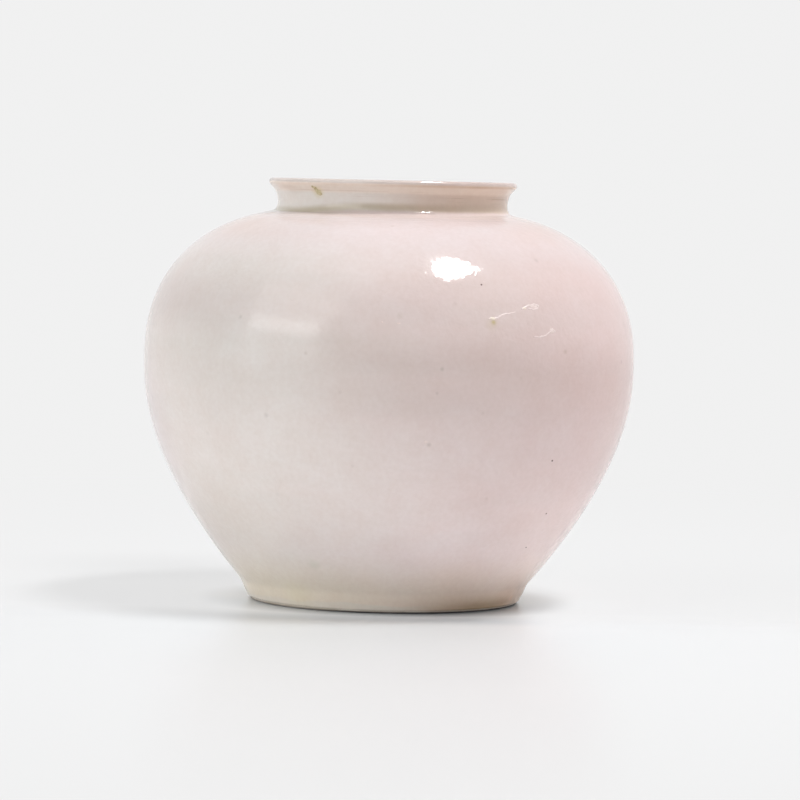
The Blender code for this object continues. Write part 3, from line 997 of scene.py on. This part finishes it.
def floor_material():
    """A pale, slightly glossy table that goes over into the plain background away from the jar.

    To the eye and in the glaze, the shade beside and behind the jar is lightened by the plain background.
    """
    made, nodes, shader = material("floor")
    place = nodes.place()
    x, y, _ = nodes.parts(place)
    seen = nodes.rays("Is Camera Ray", "Is Transmission Ray", "Is Glossy Ray")
    colour = nodes.mix(seen, FLOOR_COLOUR, FLOOR_SEEN)
    # Painted shade and light round the foot, and a painted cool shade in front
    colour = nodes.patches(colour, place, FLOOR_PAINTED_LIGHT_AND_SHADE)
    # A band of painted shade just in front of the foot
    colour = nodes.band(colour, y, nodes.math("ABSOLUTE", x), FLOOR_PAINTED_SHADE_BAND)
    away = nodes.measure("LENGTH", place)
    # A ring of painted shade round the front of the foot
    colour = nodes.tint(nodes.both(away, SHADE_RING_OUT, y, SHADE_RING_FRONT), colour, SHADE_RING_TINT)
    nodes.put(shader.inputs["Base Color"], colour)
    nodes.put(shader.inputs["Specular Tint"], FLOOR_SHEEN)
    nodes.put(shader.inputs["Roughness"], FLOOR_ROUGHNESS)
    kept = nodes.math("MAXIMUM", nodes.span(y, *KEPT_FRONT), nodes.span(away, *KEPT_CLOSE))
    kept = nodes.times(kept, nodes.span(away, *KEPT_FAR, smooth=False))
    plain = nodes.times(nodes.math("SUBTRACT", 1.0, kept), seen)
    light = nodes.add("ShaderNodeEmission", {"Color": (BACKGROUND,) * 3})
    mixed = nodes.add("ShaderNodeMixShader", {0: plain, 1: shader.outputs[0], 2: light})
    nodes.put(made.node_tree.nodes["Material Output"].inputs["Surface"], mixed)
    return made


def floor():
    """The floor that the jar stands on."""
    bm = bmesh.new()
    bmesh.ops.create_grid(bm, x_segments=FLOOR_CELLS, y_segments=FLOOR_CELLS, size=FLOOR_SIZE / 2)
    made = piece_from(bm, "floor")
    made.location.z = -FLOOR_DROP
    made.data.materials.append(floor_material())


def camera():
    """The camera, looking along +Y from the photographed side."""
    data = bpy.data.cameras.new("camera")
    data.lens = LENS_MM
    data.sensor_width = SENSOR_MM
    made = bpy.data.objects.new("camera", data)
    place = Matrix.Translation((CAMERA_ASIDE, -CAMERA_DISTANCE, CAMERA_HEIGHT))
    pitch = Matrix.Rotation(pi / 2 - CAMERA_PITCH, 4, "X")
    made.matrix_world = place @ pitch @ Matrix.Rotation(CAMERA_ROLL, 4, "Z")
    bpy.context.scene.collection.objects.link(made)
    bpy.context.scene.camera = made


def area_lamp(name, way, shape, size, energy):
    """A flat lamp in a direction from the jar, aimed at it and unseen by the camera."""
    data = bpy.data.lights.new(name, "AREA")
    data.shape = shape
    data.size, data.size_y = size
    data.energy = energy
    lamp = bpy.data.objects.new(name, data)
    way = way.normalized()
    lamp.location = AIM + way * LAMP_DISTANCE
    lamp.rotation_euler = way.to_track_quat("Z", "Y").to_euler()
    lamp.visible_camera = False
    bpy.context.scene.collection.objects.link(lamp)
    return lamp


def key():
    """The soft oval lamp above the jar, which the glaze doesn't mirror."""
    energy = KEY_LEVEL * pi ** 2 * LAMP_DISTANCE ** 2
    area_lamp("key", KEY_WAY, "ELLIPSE", KEY_SIZE, energy).visible_glossy = False


def shine():
    """What glossy surfaces mirror of the key: a leaf-shaped opening, which gives no other light."""
    energy = SHINE_GLOW * pi * SHINE_SIZE ** 2
    lamp = area_lamp("shine", SHINE_WAY, "SQUARE", (SHINE_SIZE, SHINE_SIZE), energy)
    lamp.visible_diffuse = False
    lamp.data.use_nodes = True
    nodes = Nodes(lamp.data.node_tree)
    first, second, _ = nodes.parts(nodes.add("ShaderNodeNewGeometry", output="Parametric"))
    first = nodes.times(nodes.math("SUBTRACT", first, 0.5), SHINE_SIZE)
    second = nodes.times(nodes.math("SUBTRACT", second, 0.5), SHINE_SIZE)
    along, across = (nodes.blend(first, second, *shares) for shares in (LEAF_ALONG, LEAF_ACROSS))
    far = nodes.math("ADD", nodes.math("POWER", along, 2.0), nodes.math("POWER", across, 2.0))
    body = nodes.span(far, 1.0, 1.0 - LEAF_EDGE)
    side = nodes.math("ABSOLUTE", nodes.math("SUBTRACT", across, LEAF_TIP_SIDE))
    room = nodes.times(nodes.math("SUBTRACT", LEAF_TIP, along), LEAF_TAPER)
    tail = nodes.span(nodes.math("SUBTRACT", room, side), 0.0, LEAF_EDGE)
    tail = nodes.times(tail, nodes.math("GREATER_THAN", along, 0.0))
    emission = lamp.data.node_tree.nodes["Emission"]
    nodes.put(emission.inputs["Strength"], nodes.math("MAXIMUM", body, tail))


def surroundings():
    """The room: plain to the eye, brighter at the sides and the back than in front, with a soft card."""
    world = bpy.data.worlds.new("surroundings")
    world.use_nodes = True
    bpy.context.scene.world = world
    nodes = Nodes(world.node_tree)
    way = nodes.add("ShaderNodeTexCoord", output="Generated")
    x, y, z = nodes.parts(way)
    level = WORLD_LEVEL
    for part, sign, strength in ((x, -1.0, WORLD_LEFT), (x, 1.0, WORLD_RIGHT), (y, 1.0, WORLD_BACK)):
        share = nodes.math("MAXIMUM", nodes.times(part, sign), 0.0)
        level = nodes.math("ADD", nodes.times(share, strength), level)
    mirrored = nodes.math("MAXIMUM", nodes.span(y, *MIRROR_BACK), nodes.span(z, *MIRROR_TOP))
    mirrored = nodes.span(mirrored, 0.0, 1.0, DARK_FRONT, BACKGROUND, smooth=False)
    level = nodes.choose(nodes.rays("Is Glossy Ray"), level, mirrored)
    for centre, half, edge, glow in (CARD, CORE):
        level = nodes.plus(level, nodes.card(way, centre, half, edge), glow)
    seen = nodes.rays("Is Camera Ray", "Is Transmission Ray")
    background = world.node_tree.nodes["Background"]
    nodes.put(background.inputs["Color"], (1.0, 1.0, 1.0))
    nodes.put(background.inputs["Strength"], nodes.choose(seen, level, BACKGROUND))


def dress():
    """Gives the clay its finishes, and adds the glaze and its marks."""
    pairs = outline_pairs()
    skin = Skin(pairs)
    finishes = {
        "glaze": glaze_material(skin),
        "bare_clay": clay_material("bare_clay", *BARE_CLAY),
        "slip": clay_material("slip", *SLIP),
    }
    for name, look in MARK_LOOKS.items():
        finishes[name] = mark_material(name, *look)
    for subpart in frame["record"]["subparts"]:
        node = frame["nodes"][subpart["node"]]
        node.data.materials.clear()
        node.data.materials.append(finishes[subpart["material_slot"]])
    glaze_coat(pairs, finishes["glaze"])
    marks(skin, finishes)


bpy.context.scene.view_settings.view_transform = "Standard"
camera()
surroundings()
key()
shine()
floor()
dress()
